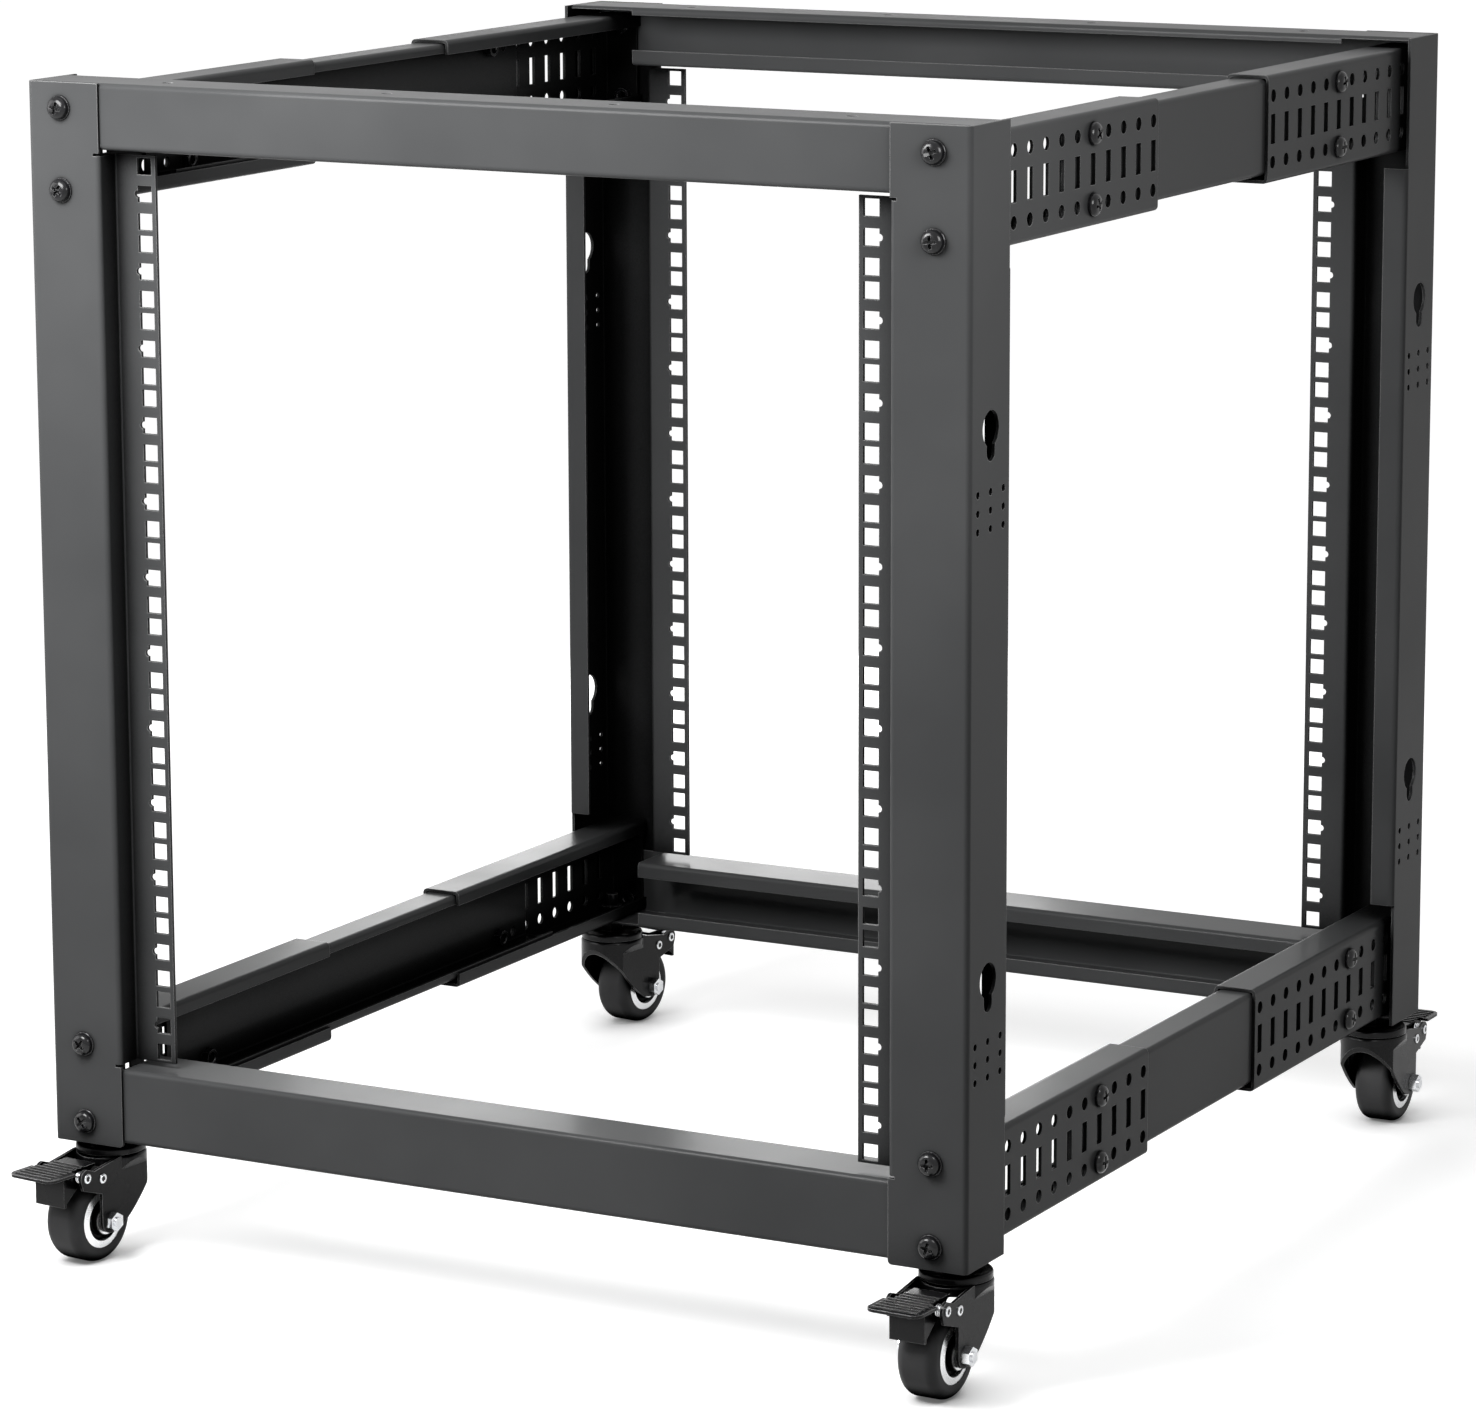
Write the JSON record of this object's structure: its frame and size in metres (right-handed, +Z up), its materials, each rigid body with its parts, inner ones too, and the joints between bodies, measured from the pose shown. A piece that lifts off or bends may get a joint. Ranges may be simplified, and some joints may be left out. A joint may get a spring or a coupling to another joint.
{
  "type": "four post open frame rack",
  "caption": "Open frame equipment rack on swivel casters with brakes: four folded steel posts with square-hole rails, cross beams and telescoping side rails.",
  "frame": {"origin": "on the floor at the centre of the footprint", "axes": "+X to the right seen from the front, +Y to the back, +Z up"},
  "size_m": [0.6087, 0.7517, 0.698],
  "materials": {
    "black_sheet": "satin black powder coat on folded steel sheet",
    "caster_black": "gloss black enamel on stamped steel",
    "zinc": "bright zinc plate",
    "wheel_core": "pale grey moulded rim",
    "tread": "matt black tread",
    "pedal_black": "satin black"
  },
  "bodies": {
    "frame": {"beam_top_front": "black_sheet", "beam_top_rear": "black_sheet", "beam_bottom_front": "black_sheet", "beam_bottom_rear": "black_sheet", "channel_upper_left": "black_sheet", "channel_upper_right": "black_sheet", "channel_lower_left": "black_sheet", "channel_lower_right": "black_sheet", "post_front_left": "black_sheet", "sleeve_upper_front_left": "black_sheet", "sleeve_lower_front_left": "black_sheet", "caster_cup_front_left": "caster_black", "post_front_right": "black_sheet", "sleeve_upper_front_right": "black_sheet", "sleeve_lower_front_right": "black_sheet", "caster_cup_front_right": "caster_black", "post_rear_left": "black_sheet", "sleeve_upper_rear_left": "black_sheet", "sleeve_lower_rear_left": "black_sheet", "caster_cup_rear_left": "caster_black", "post_rear_right": "black_sheet", "sleeve_upper_rear_right": "black_sheet", "sleeve_lower_rear_right": "black_sheet", "caster_cup_rear_right": "caster_black"},
    "fork_front_left": {"caster_fork_front_left": "caster_black", "caster_pins_front_left": "zinc"},
    "wheel_front_left": {"caster_wheel_front_left": "wheel_core", "caster_tyre_front_left": "tread"},
    "pedal_front_left": {"caster_pedal_front_left": "pedal_black"},
    "fork_front_right": {"caster_fork_front_right": "caster_black", "caster_pins_front_right": "zinc"},
    "wheel_front_right": {"caster_wheel_front_right": "wheel_core", "caster_tyre_front_right": "tread"},
    "pedal_front_right": {"caster_pedal_front_right": "pedal_black"},
    "fork_rear_left": {"caster_fork_rear_left": "caster_black", "caster_pins_rear_left": "zinc"},
    "wheel_rear_left": {"caster_wheel_rear_left": "wheel_core", "caster_tyre_rear_left": "tread"},
    "pedal_rear_left": {"caster_pedal_rear_left": "pedal_black"},
    "fork_rear_right": {"caster_fork_rear_right": "caster_black", "caster_pins_rear_right": "zinc"},
    "wheel_rear_right": {"caster_wheel_rear_right": "wheel_core", "caster_tyre_rear_right": "tread"},
    "pedal_rear_right": {"caster_pedal_rear_right": "pedal_black"}
  },
  "joints": [
    {"name": "swivel_front_left", "type": "hinge", "parent": "frame", "child": "fork_front_left", "pos_m": [-0.28, -0.302, 0.062], "axis": [0, 0, 1], "continuous": true},
    {"name": "roll_front_left", "type": "hinge", "parent": "fork_front_left", "child": "wheel_front_left", "pos_m": [-0.28249, -0.32386, 0.026], "axis": [0.9936, -0.1132, 0], "continuous": true},
    {"name": "brake_front_left", "type": "hinge", "parent": "fork_front_left", "child": "pedal_front_left", "pos_m": [-0.28481, -0.34423, 0.0565], "axis": [0.9936, -0.1132, 0], "range_deg": [0, 8]},
    {"name": "swivel_front_right", "type": "hinge", "parent": "frame", "child": "fork_front_right", "pos_m": [0.28, -0.302, 0.062], "axis": [0, 0, 1], "continuous": true},
    {"name": "roll_front_right", "type": "hinge", "parent": "fork_front_right", "child": "wheel_front_right", "pos_m": [0.27904, -0.32398, 0.026], "axis": [0.999, -0.0436, 0], "continuous": true},
    {"name": "brake_front_right", "type": "hinge", "parent": "fork_front_right", "child": "pedal_front_right", "pos_m": [0.27815, -0.34446, 0.0565], "axis": [0.999, -0.0436, 0], "range_deg": [0, 8]},
    {"name": "swivel_rear_left", "type": "hinge", "parent": "frame", "child": "fork_rear_left", "pos_m": [-0.28, 0.302, 0.062], "axis": [0, 0, 1], "continuous": true},
    {"name": "roll_rear_left", "type": "hinge", "parent": "fork_rear_left", "child": "wheel_rear_left", "pos_m": [-0.27694, 0.32379, 0.026], "axis": [0.9903, -0.1392, 0], "continuous": true},
    {"name": "brake_rear_left", "type": "hinge", "parent": "fork_rear_left", "child": "pedal_rear_left", "pos_m": [-0.27409, 0.34409, 0.0565], "axis": [-0.9903, 0.1392, 0], "range_deg": [0, 8]},
    {"name": "swivel_rear_right", "type": "hinge", "parent": "frame", "child": "fork_rear_right", "pos_m": [0.28, 0.302, 0.062], "axis": [0, 0, 1], "continuous": true},
    {"name": "roll_rear_right", "type": "hinge", "parent": "fork_rear_right", "child": "wheel_rear_right", "pos_m": [0.27981, 0.324, 0.026], "axis": [1, 0.0087, 0], "continuous": true},
    {"name": "brake_rear_right", "type": "hinge", "parent": "fork_rear_right", "child": "pedal_rear_right", "pos_m": [0.27963, 0.3445, 0.0565], "axis": [-1, -0.0087, 0], "range_deg": [0, 8]}
  ]
}
